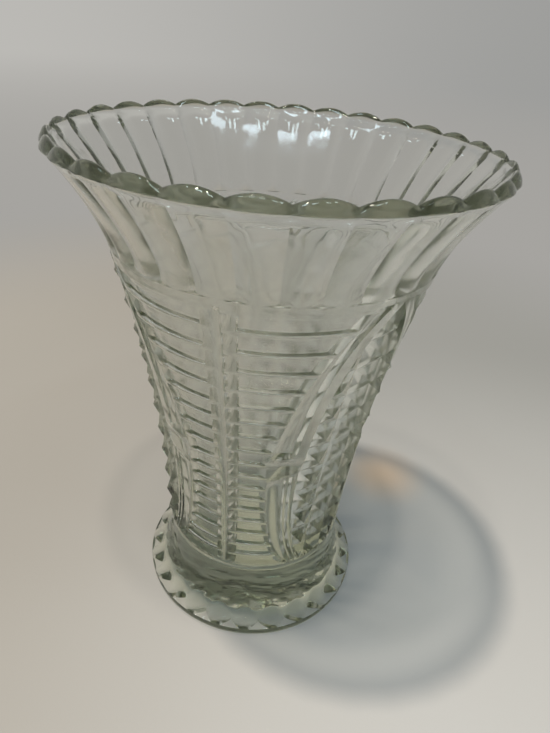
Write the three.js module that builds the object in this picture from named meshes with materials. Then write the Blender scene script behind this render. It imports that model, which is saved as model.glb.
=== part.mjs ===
// Pressed clear-glass vase: a round petalled foot, a body with rib panels and fields of small pyramids,
// a reeded collar and a scalloped rim. The real vase is one pressing, so each mesh is one zone of it, and
// neighbouring zones meet face to face on a level section. Millimetres, +Z up, origin at the middle of the
// underside. The middle of one rib panel faces -Y, and angles are in degrees from there towards +X.

import * as THREE from 'three';
import { mergeVertices } from 'three/addons/utils/BufferGeometryUtils.js';

// Zone heights, from the table up
const footHeight = 18.7;
const neckHeight = 16.3;
const lowerPatternHeight = 60.5;
const upperPatternHeight = 71.5;
const collarHeight = 29;
const rimHeight = 7.2;

// Outer radii at the levels between the zones
const footRadius = 50.3;
const neckRadius = 40.6;
const patternFootRadius = 40.2;
const waistRadius = 45.2;
const shoulderRadius = 59.8;
const collarRadius = 75.2;
const lipRadius = 78;

// Wall thickness, measured level
const baseWall = 8.5;
const lowerWall = 7.2;
const waistWall = 6.2;
const shoulderWall = 5.6;
const collarWall = 4.8;
const lipWall = 5.2;

// Inside floor
const floorLevel = 24;
const floorCorner = 6;
const cornerShare = 0.3;

// Underside: a shallow hollow inside a flat standing ring
const hollowRadius = 37;
const hollowDepth = 1.2;
const standingRingWidth = 11.4;
const footEdgeRounding = 1.4;
const footEdgeHeight = 4;
const footEdgeDraft = 0.3;

// Petals round the foot: shares of the way up from the edge, of the way in to the neck, and of the bulge
const petalCount = 24;
const petalBulge = 1.8;
const petalSteps = [
  { up: 0.25, inwards: 0.22, bulge: 0.6 },
  { up: 0.5, inwards: 0.58, bulge: 1 },
  { up: 0.78, inwards: 0.9, bulge: 0.5 },
];

// Pressed pattern, repeated round the body
const panelCount = 3;
const cellsPerZone = 9;
const rungWidth = 2.2;
const cellDepth = 1.6;
const topBarHeight = 3;
const spineHalfWidth = 2.2;
const spineRise = 0.4;
const hipAngle = 3.6;
const channelDepth = 1.4;
const stripRise = 0.2;
const stripHalfAngle = 2.5;
const beadBandAngle = 6.2;
const waistPanelAngle = 19.5;
const waistStripAngle = 35.2;
const waistBeadAngle = 30.3;
const pyramidHeight = 3;
const pyramidGroove = 2;
const pyramidPitch = 12;
const pyramidAngle = 15;

// Collar reeds and rim scallops share one count
const scallopCount = 30;
const reedDepth = 1.5;
const reedEndStep = 0.8;
const reedEndLength = 5;
const scallopDip = 2;

// Lip: it is widest a little above the collar, and leans inwards from there to its crest
const lipWidestHeight = 3.3;
const lipReedDepth = 0.8;
const lipLean = 2.2;
const lipEdgeWidth = 1.8;
const lipEdgeDrop = 0.8;
const lipBellyLean = 0.9;
const lipBellyShare = 0.55;

// Facets
const stepsPerPetal = 4;
const stepsPerScallop = 4;
const innerSteps = 48;
const fieldSteps = 6;
const floorSteps = 3;

// Levels
const footTop = footHeight;
const patternBottom = footTop + neckHeight;
const waist = patternBottom + lowerPatternHeight;
const shoulder = waist + upperPatternHeight;
const rimBottom = shoulder + collarHeight;
const lipWidest = rimBottom + lipWidestHeight;
const rimTop = rimBottom + rimHeight;

// The outline: radius, slope and wall at each level, joined by smooth curves
const outline = [
  { height: footTop, radius: neckRadius, slope: -0.05, wall: baseWall },
  { height: patternBottom, radius: patternFootRadius, slope: 0.015, wall: lowerWall },
  { height: waist, radius: waistRadius, slope: 0.13, wall: waistWall },
  { height: shoulder, radius: shoulderRadius, slope: 0.26, wall: shoulderWall },
  { height: rimBottom, radius: collarRadius, slope: 0.72, wall: collarWall },
  { height: lipWidest, radius: lipRadius, slope: 0.6, wall: lipWall },
];

// Share of the way from one number to another, held between 0 and 1
function share(value, from, to) {
  return THREE.MathUtils.clamp((value - from) / (to - from), 0, 1);
}

function outlinePiece(height) {
  const found = outline.findIndex((level, i) => i > 0 && height <= level.height);
  const upper = found < 0 ? outline.length - 1 : found;
  const low = outline[upper - 1];
  const high = outline[upper];
  return { low, high, along: share(height, low.height, high.height) };
}

// Outer radius without relief: the cubic that has each level's radius and slope
function outerRadius(height) {
  const { low, high, along } = outlinePiece(height);
  const span = high.height - low.height;
  const back = 1 - along;
  const fromLow = low.radius * (1 + 2 * along) + low.slope * span * along;
  const fromHigh = high.radius * (1 + 2 * back) - high.slope * span * back;
  return fromLow * back * back + fromHigh * along * along;
}

function innerRadius(height) {
  const { low, high, along } = outlinePiece(height);
  return outerRadius(height) - THREE.MathUtils.lerp(low.wall, high.wall, along);
}

function point(radius, angle, height) {
  const a = THREE.MathUtils.degToRad(angle);
  return new THREE.Vector3(radius * Math.sin(a), -radius * Math.cos(a), height);
}

// A ring is a list of points, counter-clockwise from above. place(angle) gives radius and height.
function ring(angles, place) {
  return {
    angles,
    points: angles.map((angle) => {
      const { radius, height } = place(angle);
      return point(radius, angle, height);
    }),
  };
}

function evenAngles(count) {
  return Array.from({ length: count }, (_, i) => (i * 360) / count);
}

function plainRing(count, radius, height) {
  return ring(evenAngles(count), () => ({ radius, height }));
}

function pole(height) {
  return { angles: [], points: [new THREE.Vector3(0, 0, height)] };
}

// Triangles between two rings, which may hold different numbers of points: the ring whose next point
// comes first in angle steps on. A pole never steps.
function joinRings(first, second, triangles) {
  const angleAt = (r, i) => (i < r.angles.length ? r.angles[i] : 360);
  let i = 0;
  let j = 0;
  const corner = (r, k) => r.points[k % r.points.length];
  while (i < first.angles.length || j < second.angles.length) {
    const firstDone = i >= first.angles.length;
    const secondDone = j >= second.angles.length;
    if (secondDone || (!firstDone && angleAt(first, i + 1) <= angleAt(second, j + 1))) {
      triangles.push(corner(first, i), corner(first, i + 1), corner(second, j));
      i += 1;
    } else {
      triangles.push(corner(first, i), corner(second, j + 1), corner(second, j));
      j += 1;
    }
  }
}

// A closed body from rings that follow its section: outwards below, up the outside, in over the top and
// down the inside. With closed set, the last ring is joined to the first.
function bodyFromRings(rings, closed) {
  const corners = [];
  const last = closed ? rings.length : rings.length - 1;
  for (let i = 0; i < last; i += 1) {
    joinRings(rings[i], rings[(i + 1) % rings.length], corners);
  }
  const geometry = new THREE.BufferGeometry();
  geometry.setAttribute('position', new THREE.Float32BufferAttribute(corners.flatMap((p) => p.toArray()), 3));
  const merged = mergeVertices(geometry, 1e-3);
  const old = merged.getIndex().array;
  const kept = [];
  for (let i = 0; i < old.length; i += 3) {
    const [a, b, c] = [old[i], old[i + 1], old[i + 2]];
    if (a !== b && b !== c && c !== a) kept.push(a, b, c);
  }
  merged.setIndex(kept);
  merged.computeVertexNormals();
  return merged;
}

// Distance from the middle of the nearest copy of a repeated form, from 0 at its middle to 1 at its edge
function foldedShare(value, pitch) {
  const turned = THREE.MathUtils.euclideanModulo(value + pitch / 2, pitch) - pitch / 2;
  return Math.abs(turned) / (pitch / 2);
}

// Angles of the pattern's edges at a height, from the middle of a rib panel. The panel and its border
// spread from the waist, upwards into a pointed arch and downwards to the foot. The powers set how late
// each edge turns outwards, and their factors are the degrees that it gains.
function patternEdges(height) {
  if (height >= waist) {
    const up = share(height, waist, shoulder);
    const strip = waistStripAngle + 16.5 * up ** 1.5 + 8.3 * up ** 6;
    return {
      panel: waistPanelAngle + 21.5 * up + 12 * up ** 4,
      strip: strip - stripHalfAngle,
      field: Math.min(strip + stripHalfAngle, 180 / panelCount),
    };
  }
  const down = share(height, waist, patternBottom);
  const bead = waistBeadAngle + 5 * down ** 2 + 6.5 * down ** 5;
  return {
    panel: waistPanelAngle + 4 * down + 11 * down ** 4,
    strip: bead,
    field: bead + beadBandAngle,
  };
}

// Relief of the field of square pyramids, measured from the outline
function pyramidRelief(angle, height) {
  const across = foldedShare(180 / panelCount - angle, pyramidAngle);
  const up = foldedShare(height - waist, pyramidPitch);
  return pyramidHeight * (1 - Math.max(across, up)) - pyramidGroove;
}

// The pattern's points at one height, over half a repeat: from a rib panel's middle to a field's middle
function halfRepeat(height, sunk) {
  const edges = patternEdges(height);
  const halfTurn = 180 / panelCount;
  const columns = [
    { angle: 0, relief: spineRise },
    { angle: spineHalfWidth, relief: 0 },
  ];
  for (let i = 0; i <= floorSteps; i += 1) {
    const angle = THREE.MathUtils.lerp(spineHalfWidth + hipAngle, edges.panel - hipAngle, i / floorSteps);
    columns.push({ angle, relief: -cellDepth * sunk });
  }
  columns.push(
    { angle: edges.panel, relief: 0 },
    { angle: (edges.panel + edges.strip) / 2, relief: -channelDepth },
    { angle: edges.strip, relief: stripRise },
    { angle: edges.field, relief: stripRise },
  );
  const fieldFrom = halfTurn - (pyramidAngle * fieldSteps) / 4;
  for (let i = 1; i <= fieldSteps; i += 1) {
    const angle = fieldFrom + (i * pyramidAngle) / 4;
    const inside = angle > edges.field;
    columns.push({
      angle: inside ? angle : edges.field,
      relief: inside ? pyramidRelief(angle, height) : stripRise,
    });
  }
  return columns;
}

// One ring of the patterned body. sunk is 0 on a rung and 1 on a cell's floor, and depth scales it all.
function patternRing(height, sunk, depth) {
  const half = halfRepeat(Math.max(height, patternBottom), sunk);
  const repeat = 360 / panelCount;
  const angles = [];
  const points = [];
  const base = outerRadius(height);
  for (let panel = 0; panel < panelCount; panel += 1) {
    const mirrored = half.slice(1, -1).reverse();
    const right = half.map(({ angle, relief }) => ({ angle: panel * repeat + angle, relief }));
    const left = mirrored.map(({ angle, relief }) => ({ angle: (panel + 1) * repeat - angle, relief }));
    for (const { angle, relief } of [...right, ...left]) {
      angles.push(angle);
      points.push(point(base + relief * depth, angle, height));
    }
  }
  return { angles, points };
}

// Rings up a run of cells: each cell has a rung's upper edge, its floor and the next rung's lower edge
function cellRings(from, to) {
  const pitch = (to - from) / cellsPerZone;
  const rings = [];
  for (let cell = 0; cell < cellsPerZone; cell += 1) {
    const start = from + cell * pitch;
    rings.push(patternRing(start + rungWidth / 2, 0, 1));
    rings.push(patternRing(start + pitch / 2, 1, 1));
    rings.push(patternRing(start + pitch - rungWidth / 2, 0, 1));
  }
  return rings;
}

function innerRing(height) {
  return plainRing(innerSteps, innerRadius(height), height);
}

// Evenly spaced levels from one height down to another, both ends included
function levelsDown(from, to, steps) {
  return Array.from({ length: steps + 1 }, (_, i) => THREE.MathUtils.lerp(from, to, i / steps));
}

// Foot: a thick round plate whose top rises in petals to the neck
function makeFoot() {
  const angles = evenAngles(petalCount * stepsPerPetal);
  const edgeFlat = hollowRadius + standingRingWidth;
  const petalRing = (height, radius, bulge) => ring(angles, (angle) => {
    const x = foldedShare(angle, 360 / petalCount);
    return { radius: radius + petalBulge * bulge * (1 - 2 * x * x), height };
  });
  return bodyFromRings([
    pole(hollowDepth),
    petalRing(hollowDepth, hollowRadius - hollowDepth, 0),
    petalRing(0, hollowRadius, 0),
    petalRing(0, edgeFlat, 0),
    petalRing(footEdgeRounding, footRadius - footEdgeDraft, 0),
    petalRing(footEdgeHeight, footRadius, 0),
    ...petalSteps.map(({ up, inwards, bulge }) => petalRing(
      THREE.MathUtils.lerp(footEdgeHeight, footTop, up),
      THREE.MathUtils.lerp(footRadius, neckRadius, inwards),
      bulge,
    )),
    petalRing(footTop, neckRadius, 0),
    pole(footTop),
  ], false);
}

// Lower body: plain neck, the lower half of the pattern, and the floor of the inside
function makeLowerBody() {
  const neckMiddle = footTop + neckHeight / 2;
  const insideTop = floorLevel + floorCorner;
  const cornerRadius = innerRadius(insideTop) - floorCorner;
  const cornerOut = floorCorner * (1 - cornerShare);
  const cornerUp = floorCorner * cornerShare;
  return bodyFromRings([
    pole(footTop),
    patternRing(footTop, 0, 0),
    patternRing(neckMiddle, 0, 0),
    patternRing(patternBottom, 0, 0),
    ...cellRings(patternBottom, waist),
    patternRing(waist, 0, 1),
    ...levelsDown(waist, insideTop, 3).map(innerRing),
    plainRing(innerSteps, cornerRadius + cornerOut, floorLevel + cornerUp),
    plainRing(innerSteps, cornerRadius, floorLevel),
    pole(floorLevel),
  ], false);
}

// Upper body: the upper half of the pattern, closed by the plain bar under the collar
function makeUpperBody() {
  return bodyFromRings([
    patternRing(waist, 0, 1),
    ...cellRings(waist, shoulder - topBarHeight),
    patternRing(shoulder, 0, 0),
    ...levelsDown(shoulder, waist, 3).map(innerRing),
  ], true);
}

// Reeds: convex ribs that meet in sharp valleys, on the scallops' spacing
function reedRing(height, depth) {
  return ring(evenAngles(scallopCount * stepsPerScallop), (angle) => {
    const x = foldedShare(angle, 360 / scallopCount);
    const ending = 1 - share(height, shoulder, shoulder + reedEndLength);
    return { radius: outerRadius(height) - depth * x * x - reedEndStep * ending, height };
  });
}

function makeCollar() {
  const reedStart = shoulder + reedEndLength;
  const upTheReeds = levelsDown(rimBottom, reedStart, 2).reverse();
  return bodyFromRings([
    reedRing(shoulder, reedDepth / 2),
    ...upTheReeds.map((height) => reedRing(height, reedDepth)),
    ...levelsDown(rimBottom, shoulder, 2).map(innerRing),
  ], true);
}

// The lip's rings above its widest level: how far each stands in from there, and the share of the way up to
// the scalloped crest, or the drop below it
const lipSection = [
  { lean: lipBellyLean, up: lipBellyShare, drop: 0 },
  { lean: lipLean, up: 1, drop: 0 },
  { lean: lipLean + lipEdgeWidth, up: 1, drop: lipEdgeDrop },
];

// Rim: a lip whose reeds swell above the collar and whose crest dips between them
function makeRim() {
  const angles = evenAngles(scallopCount * stepsPerScallop);
  const reedSink = (angle) => foldedShare(angle, 360 / scallopCount) ** 2;
  const lipRing = ({ lean, up, drop }) => ring(angles, (angle) => {
    const crest = rimTop - scallopDip * reedSink(angle);
    const sink = lipReedDepth * reedSink(angle) * (1 - lean / (lipLean + lipEdgeWidth));
    return { radius: lipRadius - lean - sink, height: THREE.MathUtils.lerp(lipWidest, crest, up) - drop };
  });
  return bodyFromRings([
    reedRing(rimBottom, reedDepth),
    lipRing({ lean: 0, up: 0, drop: 0 }),
    ...lipSection.map(lipRing),
    innerRing(lipWidest),
    innerRing(rimBottom),
  ], true);
}

function clearGlass(color) {
  return new THREE.MeshStandardMaterial({
    color,
    roughness: 0.05,
    metalness: 0,
    transparent: true,
    opacity: 0.45,
  });
}

const vase = new THREE.Group();
const zones = [
  ['foot', makeFoot(), 0xaeb8ae],
  ['lower_body', makeLowerBody(), 0xc3cbc3],
  ['upper_body', makeUpperBody(), 0xcbd2ca],
  ['collar', makeCollar(), 0xd3d9d2],
  ['rim', makeRim(), 0x9ea794],
];
for (const [name, geometry, color] of zones) {
  const mesh = new THREE.Mesh(geometry, clearGlass(color));
  mesh.name = name;
  vase.add(mesh);
}

export default vase;
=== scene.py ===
"""Pressed clear-glass vase standing on a pale cloth.

The vase is one continuous piece of glass, so it is one closed mesh, joined from the sub-assemblies below. Their
sizes are in millimetres and their angles in degrees. Angles run round the vase from the middle of one rib panel,
which faces -Y, towards +X, and the pattern repeats every 120 degrees, mirrored about the middle of each panel.
The photograph's camera stands CAMERA_ROUND degrees round from -Y, and the lamps, the room and the cloth's colours
are turned with it.
"""

import logging
import math
from dataclasses import dataclass, field
from enum import Enum

import bpy
import numpy as np
from mathutils import Matrix, Vector


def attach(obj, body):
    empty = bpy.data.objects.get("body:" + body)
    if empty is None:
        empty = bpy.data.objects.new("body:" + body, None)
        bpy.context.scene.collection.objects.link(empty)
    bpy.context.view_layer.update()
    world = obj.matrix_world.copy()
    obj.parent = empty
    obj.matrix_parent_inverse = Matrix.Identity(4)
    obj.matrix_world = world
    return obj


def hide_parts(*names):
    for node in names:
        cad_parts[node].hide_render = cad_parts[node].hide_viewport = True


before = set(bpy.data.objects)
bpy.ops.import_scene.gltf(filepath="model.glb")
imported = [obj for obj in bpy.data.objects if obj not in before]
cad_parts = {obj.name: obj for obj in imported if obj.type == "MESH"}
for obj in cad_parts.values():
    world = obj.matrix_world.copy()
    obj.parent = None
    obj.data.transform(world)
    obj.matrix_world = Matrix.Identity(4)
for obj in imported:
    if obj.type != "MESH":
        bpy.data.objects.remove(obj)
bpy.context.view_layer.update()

Array = np.ndarray
Pair = tuple[float, float]
Triple = tuple[float, float, float]
Row = tuple[float, ...]
Colour = Triple
Socket = bpy.types.NodeSocket
Fed = float | Row | Socket

MILLIMETRE = 0.001
TABLE_DROP = 0.0002
CAMERA_ROUND = 15.5
# The pattern's repeats, and the columns over half a repeat at which the rib panel, the channel and the border end.
REPEATS = 3
REPEAT = 360.0 / REPEATS
HALF_REPEAT = REPEAT / 2.0
PANEL_END = 19
CHANNEL_END = 26
BORDER_END = 33
HALF_COLUMNS = 60

logging.basicConfig(level=logging.INFO, format="%(levelname)s %(name)s: %(message)s")
log = logging.getLogger("vase")


class LampKind(Enum):
    """How a lamp's panel is shaped."""

    ROUND = "DISK"
    OBLONG = "RECTANGLE"


@dataclass(frozen=True)
class Nodes:
    """A shader's node tree in the making."""

    tree: bpy.types.NodeTree

    def add(self, kind: str, inputs: dict[str | int, Fed] | None = None, **settings: object) -> bpy.types.Node:
        """Adds a node.

        Args:
            kind: Its type, less the first word that all shader nodes share.
            inputs: What its sockets get, by name or number: a value, or another node's output.
            settings: The node's own settings.

        Returns:
            The node.
        """
        node = self.tree.nodes.new("ShaderNode" + kind)
        for name, setting in settings.items():
            setattr(node, name, setting)
        self.feed(node, inputs or {})
        return node

    def feed(self, node: bpy.types.Node, inputs: dict[str | int, Fed]) -> None:
        """Sets or links sockets of a node."""
        for name, fed in inputs.items():
            if isinstance(fed, bpy.types.NodeSocket):
                self.tree.links.new(fed, node.inputs[name])
            else:
                node.inputs[name].default_value = fed

    def eased(self, fed: Socket, start: float, end: float, most: float = 1.0) -> Socket:
        """A share that goes from 0 at the start to the most at the end, eased at both."""
        span = {"Value": fed, "From Min": start, "From Max": end, "To Max": most}
        return self.add("MapRange", span, interpolation_type="SMOOTHSTEP").outputs["Result"]

    def ranged(self, fed: Socket, start: Pair = (0.0, 1.0), end: Pair = (0.0, 1.0)) -> Socket:
        """A value carried evenly from one span to another."""
        span = {"Value": fed, "From Min": start[0], "From Max": start[1], "To Min": end[0], "To Max": end[1]}
        return self.add("MapRange", span).outputs["Result"]

    def mixed(self, share: Socket, one: Fed, two: Fed) -> Socket:
        """A colour between two others."""
        return self.add("Mix", {"Factor": share, "A": one, "B": two}, data_type="RGBA").outputs["Result"]

    def shader(self, share: Socket, one: Socket, two: Socket) -> Socket:
        """A shader between two others."""
        return self.add("MixShader", {"Fac": share, 1: one, 2: two}).outputs["Shader"]

    def noise(self, place: Socket, scale: float, detail: float) -> Socket:
        """Soft noise from 0 to 1."""
        return self.add("TexNoise", {"Vector": place, "Scale": scale, "Detail": detail}).outputs["Fac"]

    def bumpy(self, height: Socket, distance: float, strength: Fed) -> Socket:
        """Normals of a skin that rises and falls by a distance in metres."""
        return self.add("Bump", {"Height": height, "Distance": distance, "Strength": strength}).outputs["Normal"]

    def either(self, *shares: Socket) -> Socket:
        """The largest of some shares."""
        largest = shares[0]
        for share in shares[1:]:
            largest = self.add("Math", {0: largest, 1: share}, operation="MAXIMUM").outputs["Value"]
        return largest

    def parts(self, fed: Socket) -> bpy.types.bpy_prop_collection:
        """The X, Y and Z of a place or direction along the photograph's axes."""
        turn = {"Vector": fed, "Rotation": (0.0, 0.0, math.radians(CAMERA_ROUND))}
        turned = self.add("Mapping", turn, vector_type="TEXTURE").outputs["Vector"]
        return self.add("SeparateXYZ", {"Vector": turned}).outputs


def opaque(colour: Colour) -> Row:
    """A colour with nothing see-through about it."""
    return (*colour, 1.0)


def placed(name: str, data: bpy.types.ID) -> bpy.types.Object:
    """A new object in the scene."""
    thing = bpy.data.objects.new(name, data)
    bpy.context.scene.collection.objects.link(thing)
    return thing


def held(share: Array) -> Array:
    """A share held between 0 and 1."""
    return np.clip(share, 0.0, 1.0)


def smooth(share: Array) -> Array:
    """A share held between 0 and 1 and eased at both ends: three squares less two cubes."""
    share = held(share)
    return share * share * (3.0 - 2.0 * share)


def folded(value: Array, pitch: float) -> Array:
    """How far a value lies from the middle of the nearest copy of a repeated form.

    Args:
        value: Positions along the row of copies, with one copy's middle at 0.
        pitch: Distance between copies.

    Returns:
        0 at a copy's middle and 1 half way to the next one.
    """
    return np.abs((value + pitch / 2.0) % pitch - pitch / 2.0) / (pitch / 2.0)


@dataclass(frozen=True)
class Level:
    """One level of the outline: its height, outer radius, slope of the radius over height, and wall."""

    height: float
    radius: float
    slope: float
    wall: float


@dataclass(frozen=True)
class Outline:
    """The vase's plain section, without any relief."""

    levels: tuple[Level, ...] = (
        Level(18.7, 40.6, -0.05, 8.5),
        Level(35.0, 40.2, 0.015, 7.2),
        Level(95.5, 45.2, 0.13, 6.2),
        Level(167.0, 59.8, 0.26, 5.6),
        Level(196.0, 75.2, 0.72, 4.8),
        Level(199.3, 78.0, 0.6, 5.2),
    )

    def outer(self, height: Array) -> Array:
        """Outer radius at each height.

        Between two levels it is the cubic that has the radius and slope of both: each level's radius is carried
        over the span by its own share and slope, and weighted by the square of the other level's share.

        Args:
            height: Heights in millimetres.

        Returns:
            Radii in millimetres, of the same shape.
        """
        heights, radii, slopes = np.array([(level.height, level.radius, level.slope) for level in self.levels]).T
        upper = np.clip(np.searchsorted(heights, height), 1, len(heights) - 1)
        lower = upper - 1
        span = heights[upper] - heights[lower]
        along = held((height - heights[lower]) / span)
        back = 1.0 - along
        from_low = radii[lower] * (1.0 + 2.0 * along) + slopes[lower] * span * along
        from_high = radii[upper] * (1.0 + 2.0 * back) - slopes[upper] * span * back
        return from_low * back**2 + from_high * along**2

    def inner(self, height: Array) -> Array:
        """Inner radius at each height: the outer one less the wall, which changes evenly between levels."""
        heights, walls = zip(*((level.height, level.wall) for level in self.levels))
        return self.outer(height) - np.interp(height, heights, walls)


@dataclass(frozen=True)
class Skin:
    """A stretch of the vase's surface: rows of points, each row once round the vase.

    Angles rise along a row from 0 to just under 360. For each four-sided cell, forward is true where its split runs
    from its first corner to its third.
    """

    angle: Array
    radius: Array
    height: Array
    forward: Array | None = None

    def points(self) -> Array:
        """Every point as x, y, z: the sine and minus the cosine of its angle times its radius, and its height."""
        turn = np.radians(self.angle)
        flat = (self.radius * np.sin(turn), -self.radius * np.cos(turn), self.height)
        return np.stack([part.ravel() for part in flat], axis=1)

    def splits(self) -> Array:
        """Which way each cell is split; where that wasn't given, along its shorter diagonal."""
        if self.forward is not None:
            return self.forward
        rows, columns = self.angle.shape
        grid = self.points().reshape(rows, columns, 3)
        ahead = np.roll(grid, -1, axis=1)
        rising = np.linalg.norm(ahead[1:] - grid[:-1], axis=2)
        falling = np.linalg.norm(grid[1:] - ahead[:-1], axis=2)
        return rising <= falling


def round_skin(angle: Array, radius: Array, height: Array, forward: Array | None = None) -> Skin:
    """Carries a half repeat right round the vase, mirrored in every other half.

    Args:
        angle: Angles over rows and 61 columns, from a rib panel's middle to a field's middle.
        radius: Distances of the same points from the axis.
        height: Their heights.
        forward: Splits of the cells between them.

    Returns:
        The skin, with 360 columns.
    """
    repeats = REPEAT * np.arange(REPEATS)
    angles = [part for start in repeats for part in (angle[:, :-1] + start, start + REPEAT - angle[:, :0:-1])]
    radius, height = (np.concatenate([half[:, :-1], half[:, :0:-1]] * REPEATS, axis=1) for half in (radius, height))
    if forward is not None:
        forward = np.concatenate([forward, ~forward[:, ::-1]] * REPEATS, axis=1)
    return Skin(np.concatenate(angles, axis=1), radius, height, forward)


def even_columns(count: int, rows: int) -> Array:
    """Angles of evenly spaced columns, the same in every row."""
    return np.tile(np.arange(count) * 360.0 / count, (rows, 1))


def level_rows(count: int, heights: Array | Row) -> tuple[Array, Array]:
    """Angles and heights over level rows of evenly spaced columns."""
    angle = even_columns(count, len(heights))
    return angle, np.array(heights)[:, None] + 0.0 * angle


def ring_skin(count: int, radii: Array, heights: Array) -> Skin:
    """A skin of level rings, on evenly spaced columns."""
    angle, height = level_rows(count, heights)
    return Skin(angle, radii[:, None] + 0.0 * angle, height)


@dataclass
class Foot:
    """Round foot plate: a shallow hollow inside a flat standing ring, a rounded edge, and petals up to the neck."""

    outline: Outline
    base_radius: float = 50.15
    base_height: float = 4.6
    face_slope: float = 1.0
    back_slope: float = 0.4
    face_out: float = 0.05
    face_valley: float = 3.95
    soften: float = 0.2
    petals: int = 24
    petal_columns: int = 14
    petal_rows: int = 18
    underside: tuple[Pair, ...] = (
        (14.0, 1.2), (27.0, 1.2), (34.6, 1.2), (35.8, 1.0), (36.8, 0.35), (37.6, 0.0), (43.0, 0.0), (48.2, 0.0),
        (49.2, 0.25), (49.9, 0.8), (50.25, 1.8), (50.3, 2.9), (50.28, 3.7), (50.22, 4.3),
    )

    def lower_skin(self) -> Skin:
        """Plain rings from the hollow's middle out over the standing ring and up the rounded edge."""
        return ring_skin(self.petals * self.petal_columns, *np.array(self.underside).T)

    def petal_skin(self) -> Skin:
        """Petals: each has a slanting face like a tongue, and a steeper back up to the neck.

        Across a petal, x runs from 0 at its middle to 1 at a valley. The back is a cone, and the face is straight in
        section and sinks by the square of x, so the back shows above it over an arch and comes down between two
        faces as a wedge. The radius is the larger of the two, eased where they meet by half of the square root of
        their gap's square and a softness squared. Below, it is held within the plate.

        Returns:
            The petals from the rounded edge to the neck.
        """
        neck = self.outline.levels[0]
        levels = np.linspace(self.base_height, neck.height, self.petal_rows)
        angle, height = level_rows(self.petals * self.petal_columns, levels)
        x = folded(angle, 360.0 / self.petals)
        face = self.base_radius + self.face_out - self.face_slope * (height - self.base_height)
        face = face - self.face_valley * x**2
        back = neck.radius + self.back_slope * (neck.height - height)
        radius = (face + back) / 2.0 + np.sqrt((face - back) ** 2 + self.soften**2) / 2.0
        return Skin(angle, np.minimum(radius, self.base_radius), height)


@dataclass(frozen=True)
class SunkPyramid:
    """The border's four-sided pyramid at the waist, sunk between a level edge above and a rising ridge below.

    The ridge has its height at ridge_angle and its rise over a degree. The pyramid's faces reach in from the edge,
    the ridge, the panel and the far end. Facets lead to the border above the edge and below the ridge.
    """

    edge: float = 98.83
    ridge: Pair = (87.4, 0.35)
    ridge_angle: float = 23.5
    far: float = 40.0
    faces: Row = (4.6, 5.3, 8.0, 11.0)
    facets: Pair = (2.6, 4.0)
    level: float = 0.2
    depth: float = 1.8

    def set_into(self, plain: Array, angle: Array, height: Array, panel: Array) -> Array:
        """Sets the pyramid into the border.

        Args:
            plain: The border's relief without it.
            angle: Angles from the spine.
            height: Heights.
            panel: Angles of the rib panel's edge.

        Returns:
            The border's relief with it.
        """
        ridge = self.ridge[0] + (angle - self.ridge_angle) * self.ridge[1]
        gaps = (self.edge - height, height - ridge, angle - panel, self.far - angle)
        relief = self.level - self.depth * held(np.minimum.reduce([gap / face for gap, face in zip(gaps, self.faces)]))
        for beyond, facet in zip((height - self.edge, ridge - height), self.facets):
            relief = np.where(beyond >= 0.0, self.level + (plain - self.level) * held(beyond / facet), relief)
        return relief


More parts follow.
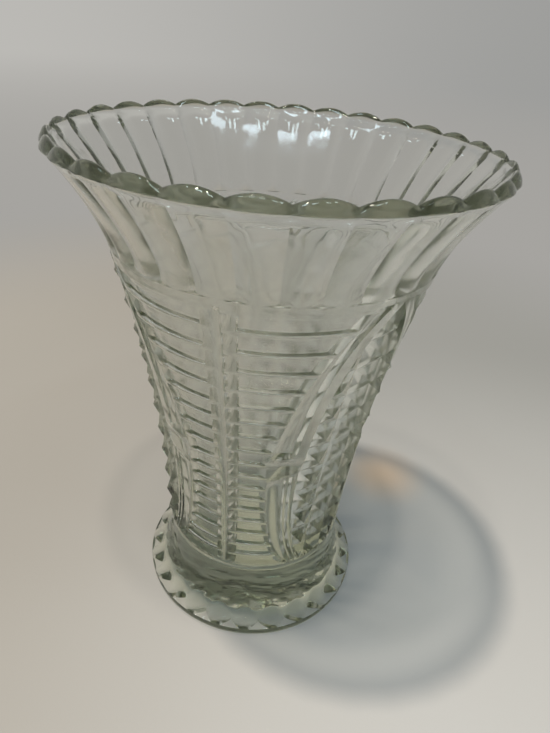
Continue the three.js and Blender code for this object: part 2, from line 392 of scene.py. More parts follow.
@dataclass
class PatternedBody:
    """Body with the pressed pattern: rib panels, arched borders and fields of square pyramids, over a plain neck.

    The pattern's points lie on 61 columns over each half repeat: the spine, the cells of a rib panel, the border
    and the field. Columns keep to the pattern's edges, which spread from the waist up into a pointed arch and
    down to the foot. Rows keep to the rungs in the panels and to the pyramids in the fields.

    Attributes:
        panel_angles: The panel's edge at the waist, its even and late gains upwards, and both downwards.
        strip_angles: The strip's middle at the waist, and its early and late gains upwards.
        bead_angles: The line between the beads at the waist, and its early and late gains downwards.
        change_from: Height at which the border's lower layout starts to change into the upper one.
        field_counts: Rows below the pyramids, from there to the waist, and from the waist up.
    """

    outline: Outline
    sunk: SunkPyramid = field(default_factory=SunkPyramid)
    bottom: float = 35.0
    waist: float = 95.5
    top: float = 167.0
    rung_levels: Row = (
        35.0, 40.8, 47.2, 54.4, 61.6, 68.8, 75.4, 81.6, 88.0, 95.0,
        102.2, 109.3, 116.5, 123.9, 131.8, 139.8, 147.9, 156.4, 164.0,
    )
    rung_half: float = 0.7
    rung_crown: float = 0.12
    crown_run: float = 0.25
    rung_row: float = 0.4
    flank: float = 0.5
    cell_depth: float = 1.6
    spine_columns: Row = (0.0, 0.6, 1.1)
    spine_edge: float = 1.4
    spine_slack: float = 0.05
    spine_rise: float = 0.7
    pit: float = 4.4
    pit_across: float = 0.62
    pit_up: float = 0.82
    pit_wall: float = 0.35
    pit_rows: Pair = (0.3, 0.55)
    hip: float = 3.2
    panel_angles: Row = (19.5, 21.5, 12.0, 4.0, 11.0)
    strip_angles: Row = (35.2, 16.5, 8.3)
    bead_angles: Row = (30.3, 5.0, 6.5)
    change_from: float = 88.0
    change_over: float = 9.0
    channel_depth: float = 1.4
    channel_edge: float = 0.1
    channel_fullness: float = 0.8
    pyramid_height: float = 3.5
    pyramid_groove: float = 1.9
    pyramid_pitch: float = 12.0
    pyramid_angle: float = 15.0
    pyramid_cells: int = 16
    field_counts: tuple[int, ...] = (11, 79, 90)
    strip_steps: Row = (-2.5, -1.5, -0.5, 0.5, 1.5, 2.5, 2.85, 3.2)
    strip_relief: Row = (*[0.25] * 6, -0.6, -1.2)
    bead_steps: Row = (-1.2, -0.5, 0.5, 1.6, 2.7, 3.6, 5.2, 6.0)
    bead_relief: Row = (-0.35, 0.35, 0.35, -0.7, 0.3, 0.3, -0.6, -1.2)
    bar_bottom: float = 165.1
    fades: Pair = (1.0, 1.1)
    bar_rows: Row = (164.6, 165.1, 165.8, 166.5)
    neck_rows: Row = (19.3, 20.5, 22.5, 25.0, 28.0, 31.0, 34.2)

    def shares(self, height: Array) -> tuple[Array, Array]:
        """How far a height is from the waist up to the top of the pattern, and how far down to its bottom."""
        up = held((height - self.waist) / (self.top - self.waist))
        return up, held((self.waist - height) / (self.waist - self.bottom))

    def share_changed(self, height: Array) -> Array:
        """How far the border's layout has changed from the lower one to the upper one."""
        return smooth((height - self.change_from) / self.change_over)

    def panel_edge(self, height: Array) -> Array:
        """Angle of the rib panel's edge: it spreads in proportion at first, then faster with the fourth power."""
        up, down = self.shares(height)
        waist, even_up, late_up, even_down, late_down = self.panel_angles
        return waist + even_up * up + late_up * up**4 + even_down * down + late_down * down**4

    def columns(self, height: Array, column: Array) -> Array:
        """Angle of a column at a height.

        Above the waist the border is a concave channel and a raised flat strip. Below it there are a channel and
        two beads. Both layouts are tables of angle over column, and they are mixed over the waist. The strip
        spreads with the power of one and a half and then with the sixth, the beads with the square and the fifth.

        Args:
            height: Heights, of any shape.
            column: Column positions of the same shape, from 0 at the spine to 60 at the field's middle.

        Returns:
            Angles in degrees from the spine.
        """
        up, down = self.shares(height)
        panel = self.panel_edge(height)
        waist, early, late = self.strip_angles
        strip = waist + early * up**1.5 + late * up**6
        waist, early, late = self.bead_angles
        bead = waist + early * down**2 + late * down**5
        changed = self.share_changed(height)
        knots = [
            *enumerate(self.spine_columns),
            (3, self.spine_edge),
            (5, self.spine_edge + self.pit * self.pit_across),
            (7, self.spine_edge + self.pit),
            (8, self.spine_edge + self.pit + self.pit_wall),
            (16, panel - self.hip),
            (PANEL_END, panel),
        ]
        for step, (over, under) in enumerate(zip(self.strip_steps, self.bead_steps)):
            knots.append((CHANNEL_END + step, bead + under + (strip + over - bead - under) * changed))
        angle = np.zeros_like(height)
        for (low_at, low), (high_at, high) in zip(knots[:-1], knots[1:]):
            share = (column - low_at) / (high_at - low_at)
            within = (column >= low_at) & (column <= high_at)
            angle = np.where(within, low + (high - low) * share, angle)
        border = np.minimum(knots[-1][1], HALF_REPEAT)
        pitch = self.pyramid_angle / self.pyramid_cells
        in_field = np.maximum(HALF_REPEAT - (HALF_COLUMNS - column) * pitch, border)
        return np.minimum(np.where(column >= BORDER_END, in_field, angle), HALF_REPEAT)

    def panel_relief(self, angle: Array, height: Array) -> Array:
        """Relief of the spine, the rungs and the cells between them.

        A cell is a tray with steep flanks at its rungs and a slanting end at the panel's edge. Beside the spine
        it starts with a pit of three facets, which fall to one point: outwards, up and down. The depth rises
        with the least of these shares. The spine is half an ellipse across, and a rung is slightly crowned.

        Args:
            angle: Angles from the spine.
            height: Heights.

        Returns:
            Relief outwards from the outline.
        """
        rungs = np.array(self.rung_levels)
        over = np.clip(np.searchsorted(rungs, height, side="right"), 1, len(rungs) - 1)
        above = height - rungs[over - 1] - self.rung_half
        below = rungs[over] - self.rung_half - height
        up = above / (above + below)
        flanks = np.minimum(above, below) / self.flank
        out = (angle - self.spine_edge) / self.pit
        facets = np.minimum(np.minimum(out / self.pit_across, up / self.pit_up), (1.0 - up) / (1.0 - self.pit_up))
        beyond = (out - 1.0) * self.pit / self.pit_wall
        back = (self.panel_edge(height) - angle) / self.hip
        least = held(np.minimum(np.minimum(flanks, back), np.maximum(facets, beyond)))
        spine = self.spine_rise * np.sqrt(held(1.0 - (angle / (self.spine_edge + self.spine_slack)) ** 2))
        aside = np.minimum(above, below) / self.rung_half + 1.0
        crown = self.rung_crown * held(1.0 - aside**2) * held(out / self.crown_run)
        return spine + crown - self.cell_depth * least

    def border_relief(self, angle: Array, height: Array, column: Array) -> Array:
        """Relief of the border between a panel and a field.

        A channel, a half-sine raised to a power in section, leads to the flat strip above the waist and to two
        beads below it. The sunk pyramid cuts it in two at the waist.

        Args:
            angle: Angles from the spine.
            height: Heights.
            column: Column positions.

        Returns:
            Relief outwards from the outline.
        """
        table = np.arange(PANEL_END, BORDER_END + 1)
        along = (table[: CHANNEL_END - PANEL_END] - PANEL_END) / (CHANNEL_END - PANEL_END)
        channel = -self.channel_depth * np.sin(math.pi * along) ** self.channel_fullness
        channel[0] = self.channel_edge
        upper = np.interp(column, table, [*channel, *self.strip_relief])
        lower = np.interp(column, table, [*channel, *self.bead_relief])
        plain = lower + (upper - lower) * self.share_changed(height)
        return self.sunk.set_into(plain, angle, height, self.panel_edge(height))

    def field_relief(self, angle: Array, height: Array) -> Array:
        """Relief of the square pyramids: each falls from its tip with the larger of its two shares outwards."""
        across = folded(HALF_REPEAT - angle, self.pyramid_angle)
        up = folded(height - self.waist, self.pyramid_pitch)
        return self.pyramid_height * (1.0 - np.maximum(across, up)) - self.pyramid_groove

    def relief(self, height: Array, column: Array) -> tuple[Array, Array]:
        """Angle and relief at a height and column, faded out at the bottom and at the plain bar on top."""
        angle = self.columns(height, column)
        panel = self.panel_relief(angle, height)
        border = self.border_relief(angle, height, column)
        pyramids = self.field_relief(angle, height)
        in_field = (column >= BORDER_END) | (angle >= HALF_REPEAT)
        relief = np.where(column <= PANEL_END, panel, np.where(in_field, pyramids, border))
        low, high = self.fades
        return angle, relief * (held((height - self.bottom) / low) * held((self.bar_bottom - height) / high))

    def panel_rows(self) -> Array:
        """Heights of the rows in a panel: ten to a cell, which crowd at the rungs and keep to the pits' points.

        Each is a share of the cell's pitch above its lower rung, plus some millimetres.

        Returns:
            181 heights.
        """
        steps = (
            (0.0, 0.0), (0.0, self.rung_row), (0.0, self.rung_half), (0.0, self.rung_half + self.flank),
            *((share, 0.0) for share in self.pit_rows), (self.pit_up, self.rung_half * (1.0 - 2.0 * self.pit_up)),
            (1.0, -self.rung_half - self.flank), (1.0, -self.rung_half), (1.0, -self.rung_row),
        )
        share, more = np.array(steps).T
        rungs = np.array(self.rung_levels)
        rows = rungs[:-1, None] + np.diff(rungs)[:, None] * share + more
        return np.concatenate([rows.ravel(), rungs[-1:]])

    def field_rows(self) -> Array:
        """Heights of the rows in a field: eight to half a pyramid, and closer at the bottom and the top.

        Returns:
            181 heights, of which the 91st lies at the waist, as in the panels.
        """
        step = self.pyramid_pitch / self.pyramid_cells
        crowded, down, up = self.field_counts
        lower = self.waist - step * np.arange(down, 0, -1)
        upper = self.waist + step * np.arange(up)
        bottom = np.linspace(self.bottom, lower[0], crowded + 1)[:-1]
        return np.concatenate([bottom, lower, upper, [self.rung_levels[-1]]])

    def skin(self) -> Skin:
        """The patterned skin from the pattern's bottom to the plain bar.

        A cell is split along the diagonal whose middle lies closer to the true surface, so that ridges and
        mitres that cross the grid stay sharp.

        Returns:
            The skin, right round the vase.
        """
        column = np.arange(HALF_COLUMNS + 1.0)[None, :]
        panel, fields = self.panel_rows()[:, None], self.field_rows()[:, None]
        height = panel + (fields - panel) * smooth((column - PANEL_END) / (BORDER_END - PANEL_END))
        height = np.concatenate([height, np.array(self.bar_rows)[:, None] + 0.0 * column])
        column = column + 0.0 * height
        angle, relief = self.relief(height, column)
        radius = self.outline.outer(height) + relief
        middle = (height[:-1, :-1] + height[:-1, 1:] + height[1:, :-1] + height[1:, 1:]) / 4.0
        true = self.outline.outer(middle) + self.relief(middle, column[:-1, :-1] + 0.5)[1]
        rising = np.abs((radius[:-1, :-1] + radius[1:, 1:]) / 2.0 - true)
        falling = np.abs((radius[:-1, 1:] + radius[1:, :-1]) / 2.0 - true)
        return round_skin(angle, radius, height, rising <= falling)

    def neck_skin(self) -> Skin:
        """The plain neck, on the columns of the pattern's bottom row."""
        column = np.arange(HALF_COLUMNS + 1.0)[None, :] + np.zeros((len(self.neck_rows), 1))
        height = np.array(self.neck_rows)[:, None] + 0.0 * column
        angle = self.columns(np.full_like(height, self.bottom), column)
        return round_skin(angle, self.outline.outer(height), height)


@dataclass
class Collar:
    """Reeded collar: 30 convex reeds that meet in sharp valleys and end below on rounded tips."""

    outline: Outline
    reeds: int = 30
    reed_columns: int = 12
    reed_depth: float = 1.5
    end_step: float = 0.06
    end_height: float = 167.6
    end_length: float = 6.0
    rows: Row = (
        167.1, 167.6, 167.9, 168.3, 168.9, 169.7, 170.8, 172.2, 174.0, 177.0, 181.0, 185.0, 189.0, 192.5, 195.0,
    )

    def radius(self, angle: Array, height: Array) -> Array:
        """Outer radius over the reeds.

        Across a reed, x runs from 0 at its middle to 1 at a valley, and the skin sinks by the square of x. The
        sinking grows over the reed's end as a quarter circle, and the end stands back from the bar below.

        Args:
            angle: Angles in degrees.
            height: Heights.

        Returns:
            Radii in millimetres.
        """
        x = folded(angle, 360.0 / self.reeds)
        along = held((height - self.end_height) / self.end_length)
        grown = np.sqrt(1.0 - (1.0 - along) ** 2)
        step = self.end_step * (1.0 - along) ** 2 * (height > self.end_height)
        return self.outline.outer(height) - self.reed_depth * x**2 * grown - step

    def skin(self) -> Skin:
        """The reeds from the plain bar to the lip."""
        angle, height = level_rows(self.reeds * self.reed_columns, self.rows)
        return Skin(angle, self.radius(angle, height), height)


@dataclass
class Rim:
    """Lip: every reed swells into a fingertip, which leans inwards to its crest, with shallow dips between."""

    outline: Outline
    collar: Collar
    radius: float = 77.95
    widest: float = 199.3
    top: float = 203.2
    dip: float = 2.0
    sink: float = 0.8
    swell_rows: Row = (196.3, 197.3, 198.1, 198.7)
    section: tuple[Pair, ...] = (
        (0.14, -0.06), (0.02, 0.0), (0.0, 0.07), (0.07, 0.17), (0.24, 0.30), (0.48, 0.44), (0.76, 0.58), (1.06, 0.71),
        (1.36, 0.82), (1.66, 0.905), (1.96, 0.965), (2.26, 0.995), (2.55, 1.0), (2.85, 0.97), (3.15, 0.90),
        (3.5, 0.77), (4.0, 0.55), (4.5, 0.3),
    )

    def skin(self) -> Skin:
        """The lip from the reeds' tops, over its crest, to its inner side.

        Below, the reeds' sinking fades into the lip's. Above, each row of the section leans inwards from the
        widest radius and stands at a share of the way up to the crest, which dips by the square of x. Across a
        reed, x runs from 0 at its middle to 1 at a valley.

        Returns:
            The lip's rows, outside first.
        """
        reed, columns = 360.0 / self.collar.reeds, self.collar.reeds * self.collar.reed_columns
        low_angle, low = level_rows(columns, self.swell_rows)
        angle = even_columns(columns, len(self.section))
        start = self.outline.levels[-2].height
        sink = self.collar.reed_depth + (self.sink - self.collar.reed_depth) * ((low - start) / (self.widest - start))
        swell = self.outline.outer(low) - sink * folded(low_angle, reed) ** 2
        lean, share = np.array(self.section).T[:, :, None]
        valley = folded(angle, reed) ** 2
        radius = self.radius - lean - self.sink * valley * (1.0 - lean / lean.max())
        height = self.widest + (self.top - self.dip * valley - self.widest) * share
        parts = ((low_angle, angle), (swell, radius), (low, height))
        return Skin(*(np.concatenate(part) for part in parts))


@dataclass
class Inside:
    """The plunger's side of the pressing: a smooth wall down to a rounded corner and a flat floor."""

    outline: Outline
    floor: float = 24.0
    corner: float = 6.0
    columns: int = 180
    lip_rows: Row = (198.9, 197.2)
    wall_top: float = 195.0
    wall_rows: int = 20
    corner_rows: int = 6
    floor_rings: Row = (0.66, 0.33)

    def skin(self) -> Skin:
        """The inside from under the lip, down the wall, round the corner and in over the floor."""
        low = self.floor + self.corner
        wall = np.append(self.lip_rows, np.linspace(self.wall_top, low, self.wall_rows))
        edge = float(self.outline.inner(np.array([low]))[0]) - self.corner
        turn = np.linspace(0.0, math.pi / 2.0, self.corner_rows + 1)[1:]
        rings = [edge * share for share in self.floor_rings]
        radii = np.concatenate([self.outline.inner(wall), edge + self.corner * np.cos(turn), rings])
        heights = np.concatenate([wall, low - self.corner * np.sin(turn), [self.floor] * len(rings)])
        return ring_skin(self.columns, radii, heights)


def cell_triangles(skin: Skin, first: int) -> Array:
    """Triangles of one skin's cells, wound so that they face away from the glass.

    Args:
        skin: The skin.
        first: Number of its first point in the whole mesh.

    Returns:
        Three point numbers a triangle.
    """
    rows, columns = skin.angle.shape
    number = first + np.arange(rows * columns).reshape(rows, columns)
    a, b = number[:-1], np.roll(number, -1, axis=1)[:-1]
    d, c = number[1:], np.roll(number, -1, axis=1)[1:]
    forward = skin.splits()
    one = np.where(forward[..., None], np.stack([a, b, c], -1), np.stack([a, b, d], -1))
    two = np.where(forward[..., None], np.stack([a, c, d], -1), np.stack([b, c, d], -1))
    return np.concatenate([one.reshape(-1, 3), two.reshape(-1, 3)])


def seam_triangles(low: Array, high: Array, low_first: int, high_first: int) -> Array:
    """Triangles between two rings with their own columns.

    The ring whose next point comes first in angle steps on, so each step's far corner is found by counting how
    many points of the other ring come before it.

    Args:
        low: Rising angles of the first ring.
        high: Rising angles of the second ring.
        low_first: Number of the first ring's first point.
        high_first: Number of the second ring's first point.

    Returns:
        Three point numbers a triangle.
    """
    low_next, high_next = np.append(low[1:], 360.0), np.append(high[1:], 360.0)
    beside_low = np.searchsorted(high_next, low_next, side="left") % len(high)
    beside_high = np.searchsorted(low_next, high_next, side="right") % len(low)
    i, j = np.arange(len(low)), np.arange(len(high))
    from_low = np.stack([low_first + i, low_first + (i + 1) % len(low), high_first + beside_low], 1)
    from_high = np.stack([low_first + beside_high, high_first + (j + 1) % len(high), high_first + j], 1)
    return np.concatenate([from_low, from_high])


def pole_triangles(columns: int, first: int, pole: int, outwards: bool) -> Array:
    """Triangles between a ring and the point on the axis inside it."""
    i = first + np.arange(columns)
    ahead = np.roll(i, -1)
    ends = (ahead, i) if outwards else (i, ahead)
    return np.stack([*ends, np.full(columns, pole)], 1)


@dataclass(frozen=True)
class ClearGlass:
    """Clear soda glass with a faint olive tint that shows through thick parts.

    The mould's side is fire-polished. Two attributes of the mesh mark where the skin is duller and more wavy, and
    roughness and ripple have a value for none and for all of each.

    Attributes:
        surface: Tint that light takes on at each surface.
        kept: Colour that light keeps as it goes deeper.
        density: How fast it loses the rest, per metre.
        ripple_draw: How much slower the ripple changes with height, as the plunger drew it out.
        ripple_height: How high it is, in metres.
        edge_shade: Share left of the light in the shadow where it passes along the skin.
        edge_width: How wide that edge is, as a layer weight's blend.
        shades: What each skin lets through into the shadow, at heights in metres. The lip bends most of the light
            away, and the foot gathers it.
    """

    surface: Colour = (0.998, 1.0, 0.988)
    kept: Colour = (0.20, 0.27, 0.05)
    density: float = 17.0
    refraction: float = 1.52
    roughness: Pair = (0.0, 0.17)
    ripple: Pair = (0.01, 1.2)
    ripple_scale: float = 120.0
    ripple_draw: float = 0.3
    ripple_height: float = 0.001
    ripple_detail: float = 1.0
    edge_shade: float = 0.75
    edge_width: float = 0.35
    shades: tuple[tuple[float, Colour], ...] = (
        (0.010, (1.0, 1.0, 1.0)),
        (0.035, (0.65, 0.67, 0.70)),
        (0.188, (0.84, 0.86, 0.875)),
        (0.198, (0.48, 0.49, 0.49)),
    )
    dull_mark: str = "dullness"
    wavy_mark: str = "waviness"

    def make(self) -> bpy.types.Material:
        """Builds the material: glass with a rippled skin, an absorbing inside, and a clear shadow."""
        material = bpy.data.materials.new("clear_pressed_glass")
        material.use_nodes = True
        material.node_tree.nodes.clear()
        nodes = Nodes(material.node_tree)
        place = nodes.add("TexCoord").outputs["Object"]
        drawn = nodes.add("Mapping", {"Vector": place, "Scale": (1.0, 1.0, self.ripple_draw)}).outputs["Vector"]
        waves = nodes.noise(drawn, self.ripple_scale, self.ripple_detail)
        glass = nodes.add("BsdfPrincipled", {
            "Base Color": opaque(self.surface),
            "Metallic": 0.0,
            "Roughness": self.marked(nodes, self.dull_mark, self.roughness),
            "IOR": self.refraction,
            "Transmission Weight": 1.0,
            "Normal": nodes.bumpy(waves, self.ripple_height, self.marked(nodes, self.wavy_mark, self.ripple)),
        })
        shadow = nodes.add("BsdfTransparent", {"Color": self.shade(nodes, place)})
        ray = nodes.add("LightPath").outputs
        passing = nodes.either(ray["Is Shadow Ray"], ray["Is Diffuse Ray"])
        mixed = nodes.shader(passing, glass.outputs["BSDF"], shadow.outputs["BSDF"])
        inside = nodes.add("VolumeAbsorption", {"Color": opaque(self.kept), "Density": self.density})
        nodes.add("OutputMaterial", {"Surface": mixed, "Volume": inside.outputs["Volume"]})
        return material

    def marked(self, nodes: Nodes, mark: str, ends: Pair) -> Socket:
        """A value that goes from one end to the other with a mark of the mesh."""
        return nodes.ranged(nodes.add("Attribute", attribute_name=mark).outputs["Fac"], end=ends)

    def shade(self, nodes: Nodes, place: Socket) -> Socket:
        """What each skin lets through into the shadow: the shade at its height, less where light passes along it."""
        top = self.shades[-1][0]
        height = nodes.add("SeparateXYZ", {"Vector": place}).outputs["Z"]
        ramp = nodes.add("ValToRGB", {"Fac": nodes.ranged(height, (0.0, top))})
        stops = ramp.color_ramp.elements
        while len(stops) < len(self.shades):
            stops.new(1.0)
        for stop, (level, shade) in zip(stops, self.shades):
            stop.position = level / top
            stop.color = opaque(shade)
        facing = nodes.add("LayerWeight", {"Blend": self.edge_width}).outputs["Facing"]
        dimmed = {"Vector": ramp.outputs["Color"], "Scale": nodes.ranged(facing, end=(1.0, self.edge_shade))}
        return nodes.add("VectorMath", dimmed, operation="SCALE").outputs["Vector"]


@dataclass
class Vase:
    """The whole pressing, joined from its zones' skins into one closed mesh.

    From the crease angle on, edges are sharp. The other values say at which heights the skin is dull or wavy.
    """

    outline: Outline = field(default_factory=Outline)
    glass: ClearGlass = field(default_factory=ClearGlass)
    crease: float = 24.0
    clear_from: float = 184.0
    clear_over: float = 12.0
    clear_share: float = 0.75
    floor_dull: float = 0.2
    wavy_from: float = 150.0
    wavy_over: float = 20.0
    wavy_shares: Pair = (0.1, 0.2)
    neck: Pair = (19.0, 34.5)
    neck_wavy: float = 0.35
    hollow: Pair = (1.3, 36.0)
    slack: float = 0.1

    def skins(self) -> list[Skin]:
        """The skins in order along the section, from the middle of the underside to the middle of the inside."""
        foot, body, collar = Foot(self.outline), PatternedBody(self.outline), Collar(self.outline)
        rim, inside = Rim(self.outline, collar), Inside(self.outline)
        return [
            foot.lower_skin(), foot.petal_skin(), body.neck_skin(), body.skin(),
            collar.skin(), rim.skin(), inside.skin(),
        ]

    def joined(self) -> tuple[Array, Array]:
        """Joins the skins with seams and closes both poles.

        Returns:
            Points in metres, and triangles by point number, with no doubles and no flat triangles.
        """
        skins = self.skins()
        points = [skin.points() for skin in skins]
        firsts = np.cumsum([0] + [len(part) for part in points])
        triangles = [cell_triangles(skin, first) for skin, first in zip(skins, firsts)]
        for k, (one, two) in enumerate(zip(skins[:-1], skins[1:])):
            last_row = firsts[k + 1] - one.angle.shape[1]
            triangles.append(seam_triangles(one.angle[-1], two.angle[0], last_row, firsts[k + 1]))
        under, floor = int(firsts[-1]), int(firsts[-1]) + 1
        points.append(np.array([[0.0, 0.0, skins[0].height[0, 0]], [0.0, 0.0, skins[-1].height[-1, 0]]]))
        triangles.append(pole_triangles(skins[0].angle.shape[1], 0, under, True))
        last = skins[-1].angle.shape[1]
        triangles.append(pole_triangles(last, int(firsts[-1]) - last, floor, False))
        every, corners = np.concatenate(points), np.concatenate(triangles)
        _, kept, merged = np.unique(np.round(every, 4), axis=0, return_index=True, return_inverse=True)
        corners = merged.reshape(-1)[corners]
        whole = (corners[:, 0] != corners[:, 1]) & (corners[:, 1] != corners[:, 2]) & (corners[:, 2] != corners[:, 0])
        return every[kept] * MILLIMETRE, corners[whole]

    def dull_and_wavy(self, points: Array) -> tuple[Array, Array]:
        """How dull and how wavy the skin is at each point.

        The plunger left the inside's wall dull, and clearer near the lip. The inside's floor and the
        underside are wavy, and the neck a little, where the mould's parts met. The mould's side is neither.

        Args:
            points: Points in metres.

        Returns:
            Two shares from 0 to 1 for each point.
        """
        radius = np.hypot(points[:, 0], points[:, 1]) / MILLIMETRE
        height = points[:, 2] / MILLIMETRE
        inside = (radius < self.outline.inner(height) + self.slack) & (height > Inside.floor - self.slack)
        wall = inside & (height > Inside.floor + Inside.corner)
        under = (height < self.hollow[0]) & (radius < self.hollow[1])
        neck = ~inside & (height > self.neck[0]) & (height < self.neck[1])
        clearing = 1.0 - self.clear_share * smooth((height - self.clear_from) / self.clear_over)
        low, more = self.wavy_shares
        rising = low + more * smooth((height - self.wavy_from) / self.wavy_over)
        dull = np.select([wall, inside], [clearing, self.floor_dull])
        wavy = np.select([wall, inside | under, neck], [rising, 1.0, self.neck_wavy])
        return dull.astype(np.float32), wavy.astype(np.float32)

    def build(self) -> bpy.types.Object:
        """Makes the vase's object, with its glass on it, in place of the CAD zones."""
        points, corners = self.joined()
        log.info("vase_glass: %d points, %d triangles", len(points), len(corners))
        mesh = bpy.data.meshes.new("vase_glass")
        mesh.from_pydata(points, [], corners.tolist())
        mesh.update()
        mesh.polygons.foreach_set("use_smooth", np.ones(len(mesh.polygons), dtype=bool))
        mesh.set_sharp_from_angle(angle=math.radians(self.crease))
        for name, shares in zip((self.glass.dull_mark, self.glass.wavy_mark), self.dull_and_wavy(points)):
            mesh.attributes.new(name, "FLOAT", "POINT").data.foreach_set("value", shares)
        mesh.materials.append(self.glass.make())
        vase = placed("vase_glass", mesh)
        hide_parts("foot", "lower_body", "upper_body", "collar", "rim")
        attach(vase, "root")
        return vase


@dataclass(frozen=True)
class Viewpoint:
    """The photograph's camera, as fitted.

    It has its level distance from the vase's axis, its height above the table and its turns in radians: yaw away
    from the axis, pitch down, and roll. The film is the picture's long side, and clip is in metres.
    """

    distance: float = 206.4
    height: float = 238.8
    yaw: float = 0.0194
    pitch: float = 0.5537
    roll: float = 0.0893
    lens: float = 28.348
    film: float = 36.0
    clip: Pair = (0.01, 50.0)

    def make(self) -> bpy.types.Object:
        """Makes the camera and gives it to the scene."""
        forward = Vector((
            math.sin(self.yaw) * math.cos(self.pitch),
            math.cos(self.yaw) * math.cos(self.pitch),
            -math.sin(self.pitch),
        ))
        level = Vector((math.cos(self.yaw), -math.sin(self.yaw), 0.0))
        up = level.cross(forward)
        right = math.cos(self.roll) * level + math.sin(self.roll) * up
        top = -math.sin(self.roll) * level + math.cos(self.roll) * up
        axes = Matrix((right, top, -forward)).transposed()
        round_turn = Matrix.Rotation(math.radians(CAMERA_ROUND), 3, "Z")
        place = round_turn @ Vector((0.0, -self.distance, self.height)) * MILLIMETRE
        data = bpy.data.cameras.new("photograph_camera")
        data.sensor_fit = "AUTO"
        data.sensor_width = self.film
        data.lens = self.lens
        data.clip_start, data.clip_end = self.clip
        camera = placed("photograph_camera", data)
        camera.matrix_world = Matrix.Translation(place) @ (round_turn @ axes).to_4x4()
        bpy.context.scene.camera = camera
        return camera


@dataclass(frozen=True)
class Lamp:
    """A soft lamp, aimed at a point of the vase's axis: unless it says otherwise, a pane of the window's cool light.

    The direction to it is along the photograph's axes. Its distance, its panel's width and height and the height
    of the point that it is aimed at are in metres, and its power is in watts.
    """

    name: str
    towards: Triple
    power: float
    distance: float = 1.8
    size: Pair = (0.26, 0.12)
    colour: Colour = (0.72, 0.90, 1.0)
    kind: LampKind = LampKind.OBLONG
    aim: float = 0.1

    def make(self) -> bpy.types.Object:
        """Makes the lamp's object."""
        data = bpy.data.lights.new(self.name, "AREA")
        data.shape = self.kind.value
        data.size = self.size[0]
        if self.kind is LampKind.OBLONG:
            data.size_y = self.size[1]
        data.energy = self.power
        data.color = self.colour
        out = Matrix.Rotation(math.radians(CAMERA_ROUND), 3, "Z") @ Vector(self.towards).normalized()
        lamp = placed(self.name, data)
        lamp.location = out * self.distance + Vector((0.0, 0.0, self.aim))
        lamp.rotation_mode = "QUATERNION"
        lamp.rotation_quaternion = out.to_track_quat("Z", "Y")
        return lamp


@dataclass(frozen=True)
class Surroundings:
    """The soft room round the table.

    It has a colour on the photograph's left and right, overhead and behind the camera, and a weak fill that it
    casts on everything but glass. The colours change over spans of a direction's x, y and rise, and to the rise a
    lean is added towards the camera.
    """

    left: Colour = (0.50, 0.49, 0.465)
    right: Colour = (0.34, 0.34, 0.33)
    overhead: Colour = (0.17, 0.172, 0.17)
    behind: Colour = (0.12, 0.12, 0.115)
    fill: Colour = (0.13, 0.155, 0.175)
    across: Pair = (-0.5, 0.45)
    back: Pair = (0.0, -0.6)
    lean: float = 0.5
    rise: Pair = (0.25, 0.85)

    def side_group(self) -> bpy.types.NodeTree:
        """Makes the shader group that turns a direction into the room's colour on that side."""
        group = bpy.data.node_groups.new("room_side", "ShaderNodeTree")
        group.interface.new_socket("Direction", in_out="INPUT", socket_type="NodeSocketVector")
        group.interface.new_socket("Colour", in_out="OUTPUT", socket_type="NodeSocketColor")
        nodes = Nodes(group)
        entry = group.nodes.new("NodeGroupInput")
        unit = nodes.add("VectorMath", {0: entry.outputs["Direction"]}, operation="NORMALIZE")
        part = nodes.parts(unit.outputs["Vector"])
        front = nodes.mixed(nodes.eased(part["X"], *self.across), opaque(self.left), opaque(self.right))
        colour = nodes.mixed(nodes.eased(part["Y"], *self.back), front, opaque(self.behind))
        nodes.feed(group.nodes.new("NodeGroupOutput"), {"Colour": colour})
        return group

    def make(self, side: bpy.types.NodeTree) -> bpy.types.World:
        """Makes the world.

        The eye, gloss and glass see the room's side colours low down and its overhead colour high up. Opposite
        the camera the side colours reach higher, because the cloth hangs there. Everything else gets the fill.

        Args:
            side: The group that gives the room's colour on each side.

        Returns:
            The world.
        """
        world = bpy.data.worlds.new("soft_room")
        world.use_nodes = True
        nodes = Nodes(world.node_tree)
        place = nodes.add("TexCoord").outputs["Generated"]
        away = math.radians(CAMERA_ROUND)
        up = (self.lean * math.sin(away), -self.lean * math.cos(away), 1.0)
        lift = nodes.add("VectorMath", {0: place, 1: up}, operation="DOT_PRODUCT").outputs["Value"]
        around = nodes.add("Group", {"Direction": place}, node_tree=side).outputs["Colour"]
        room = nodes.mixed(nodes.eased(lift, *self.rise), around, opaque(self.overhead))
        seen = world.node_tree.nodes["Background"]
        nodes.feed(seen, {"Color": room})
        fill = nodes.add("Background", {"Color": opaque(self.fill)})
        ray = nodes.add("LightPath").outputs
        direct = nodes.either(ray["Is Camera Ray"], ray["Is Glossy Ray"], ray["Is Transmission Ray"])
        mixed = nodes.shader(direct, fill.outputs["Background"], seen.outputs["Background"])
        nodes.feed(world.node_tree.nodes["World Output"], {"Surface": mixed})
        return world


@dataclass(frozen=True)
class Blend:
    """One step of painted shade on the cloth: over a span of x or y, in metres, part of another, darker colour is
    mixed in.
    """

    axis: str
    start: float
    end: float
    colour: Colour
    most: float


@dataclass(frozen=True)
class Gathered:
    """A patch of cloth that the glass gathers light on, which its clear shadow leaves out.

    Its reach is a pair of distances from its centre, in metres, over which it fades out.
    """

    centre: Pair
    reach: Pair
    colour: Colour
    most: float


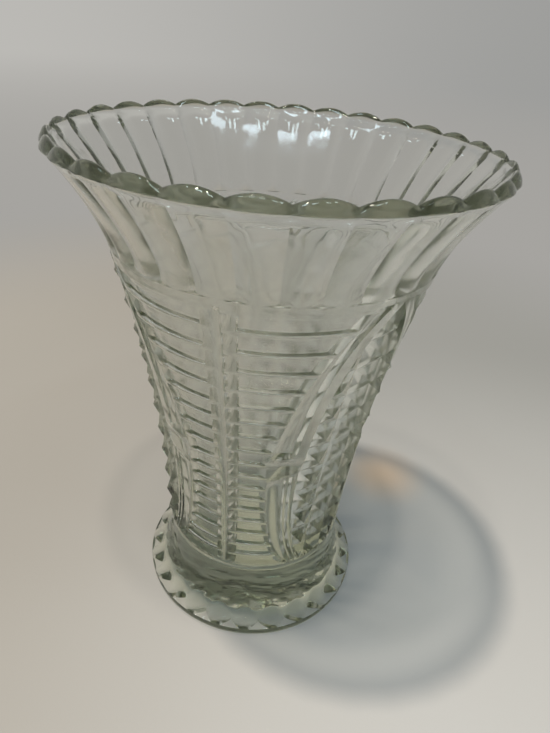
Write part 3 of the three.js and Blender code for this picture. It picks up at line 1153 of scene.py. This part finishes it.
@dataclass(frozen=True)
class PaleCloth:
    """Pale cloth with soft folds, painted into its colour as light and dark, which takes on the room's colour where it
    fades out.

    Its near colour is blended with darker ones, painted shade where the lamps light it less: further off and
    towards the left. Where the glass gathers light it is painted lighter. Over the distances of fade it becomes a
    glowing haze, and over those of far the haze takes on the room's side colours.
    """

    near: Colour = (0.60, 0.606, 0.60)
    # Painted shade: the cloth is darker further off and towards the left, where the lamps light it less.
    blends: tuple[Blend, ...] = (
        Blend("Y", -0.08, 0.26, (0.355, 0.362, 0.355), 1.0),
        Blend("X", 0.10, -0.15, (0.42, 0.40, 0.366), 0.9),
    )
    gathered: tuple[Gathered, ...] = (
        Gathered((0.0, 0.0), (0.030, 0.052), (0.84, 0.83, 0.77), 1.0),
        Gathered((0.057, 0.082), (0.0, 0.032), (0.86, 0.57, 0.33), 0.5),
    )
    haze: Colour = (0.38, 0.37, 0.35)
    fade: Pair = (0.28, 0.60)
    far: Pair = (0.5, 3.0)
    roughness: float = 0.9
    gloss: float = 0.1
    weave_size: float = 900.0
    weave_detail: float = 2.0
    weave_strength: float = 0.08
    weave_depth: float = 0.0005
    # The folds are painted light and shade in the cloth's colour, not shaped.
    fold_size: float = 2.6
    fold_detail: float = 1.5
    fold_span: Pair = (0.3, 0.7)
    fold_shade_share: float = 0.06

    def make(self, side: bpy.types.NodeTree) -> bpy.types.Material:
        """Builds the cloth's material.

        Args:
            side: The group that gives the room's colour on each side.

        Returns:
            The material.
        """
        material = bpy.data.materials.new("pale_cloth")
        material.use_nodes = True
        nodes = Nodes(material.node_tree)
        cloth = material.node_tree.nodes["Principled BSDF"]
        place = nodes.add("TexCoord").outputs["Object"]
        weave = nodes.noise(place, self.weave_size, self.weave_detail)
        nodes.feed(cloth, {
            "Base Color": self.tint(nodes, place),
            "Roughness": self.roughness,
            "Specular IOR Level": self.gloss,
            "Normal": nodes.bumpy(weave, self.weave_depth, self.weave_strength),
        })
        away = nodes.add("VectorMath", {0: place}, operation="LENGTH").outputs["Value"]
        around = nodes.add("Group", {"Direction": place}, node_tree=side).outputs["Colour"]
        haze = nodes.mixed(nodes.eased(away, *self.far), opaque(self.haze), around)
        fading = nodes.add("Emission", {"Color": haze})
        mixed = nodes.shader(nodes.eased(away, *self.fade), cloth.outputs["BSDF"], fading.outputs["Emission"])
        nodes.feed(material.node_tree.nodes["Material Output"], {"Surface": mixed})
        return material

    def tint(self, nodes: Nodes, place: Socket) -> Socket:
        """The cloth's colour: its blends of painted shade in turn, then its patches of painted gathered light, and
        over all of it the folds' painted light and dark.
        """
        part = nodes.parts(place)
        tint: Fed = opaque(self.near)
        for blend in self.blends:
            share = nodes.eased(part[blend.axis], blend.start, blend.end, blend.most)
            tint = nodes.mixed(share, tint, opaque(blend.colour))
        for patch in self.gathered:
            gap = nodes.add("VectorMath", {0: place, 1: (*patch.centre, -TABLE_DROP)}, operation="DISTANCE")
            share = nodes.eased(gap.outputs["Value"], patch.reach[1], patch.reach[0], patch.most)
            tint = nodes.mixed(share, tint, opaque(patch.colour))
        # Painted light and shade of the folds: the colour is scaled up or down by a share.
        folds = nodes.noise(place, self.fold_size, self.fold_detail)
        depth = nodes.ranged(folds, self.fold_span, (1.0 - self.fold_shade_share, 1.0 + self.fold_shade_share))
        return nodes.add("VectorMath", {"Vector": tint, "Scale": depth}, operation="SCALE").outputs["Vector"]


@dataclass
class Studio:
    """The table, the lamps and the soft surroundings."""

    cloth: PaleCloth = field(default_factory=PaleCloth)
    room: Surroundings = field(default_factory=Surroundings)
    table_reach: float = 12.0
    bounces: int = 32
    lamps: tuple[Lamp, ...] = (
        Lamp("ceiling_lamp_left", (-49.0, -8.0, 203.0), 56.0, 3.0, (0.18, 0.18), (1.0, 0.88, 0.74), LampKind.ROUND),
        Lamp("ceiling_lamp_front", (0.0, -35.0, 203.0), 14.0, 3.0, (0.18, 0.18), (1.0, 0.90, 0.78), LampKind.ROUND),
        Lamp("ceiling_lamp_far", (-54.0, -36.0, 203.0), 8.0, 3.0, (0.20, 0.20), (1.0, 0.90, 0.78), LampKind.ROUND),
        Lamp("window_1", (-0.477, -0.084, 0.875), 1.0),
        Lamp("window_2", (-0.257, -0.411, 0.875), 1.2),
        Lamp("window_3", (-0.025, -0.484, 0.875), 1.2),
        Lamp("window_4", (0.271, -0.402, 0.875), 1.2),
        Lamp("window_5", (0.428, -0.228, 0.875), 1.0),
    )

    def make_table(self, side: bpy.types.NodeTree) -> bpy.types.Object:
        """Makes the table top, a flat square of cloth, a hair below the standing ring so that they don't merge."""
        reach = self.table_reach
        corners = [(x * reach, y * reach, -TABLE_DROP) for x, y in ((-1, -1), (1, -1), (1, 1), (-1, 1))]
        mesh = bpy.data.meshes.new("table_cloth")
        mesh.from_pydata(corners, [], [(0, 1, 2, 3)])
        mesh.materials.append(self.cloth.make(side))
        table = placed("table_cloth", mesh)
        return table

    def build(self) -> None:
        """Makes everything in the studio but the camera."""
        side = self.room.side_group()
        self.make_table(side)
        bpy.context.scene.world = self.room.make(side)
        for lamp in self.lamps:
            lamp.make()
            log.info("%s: %.1f W", lamp.name, lamp.power)
        for kind in ("max_bounces", "transmission_bounces", "glossy_bounces", "transparent_max_bounces"):
            setattr(bpy.context.scene.cycles, kind, self.bounces)
        bpy.context.scene.view_settings.view_transform = "Standard"


def main() -> None:
    """Builds the camera, the vase and the studio, and notes the sizes."""
    Viewpoint().make()
    Vase().build()
    Studio().build()


if __name__ == "__main__":
    main()
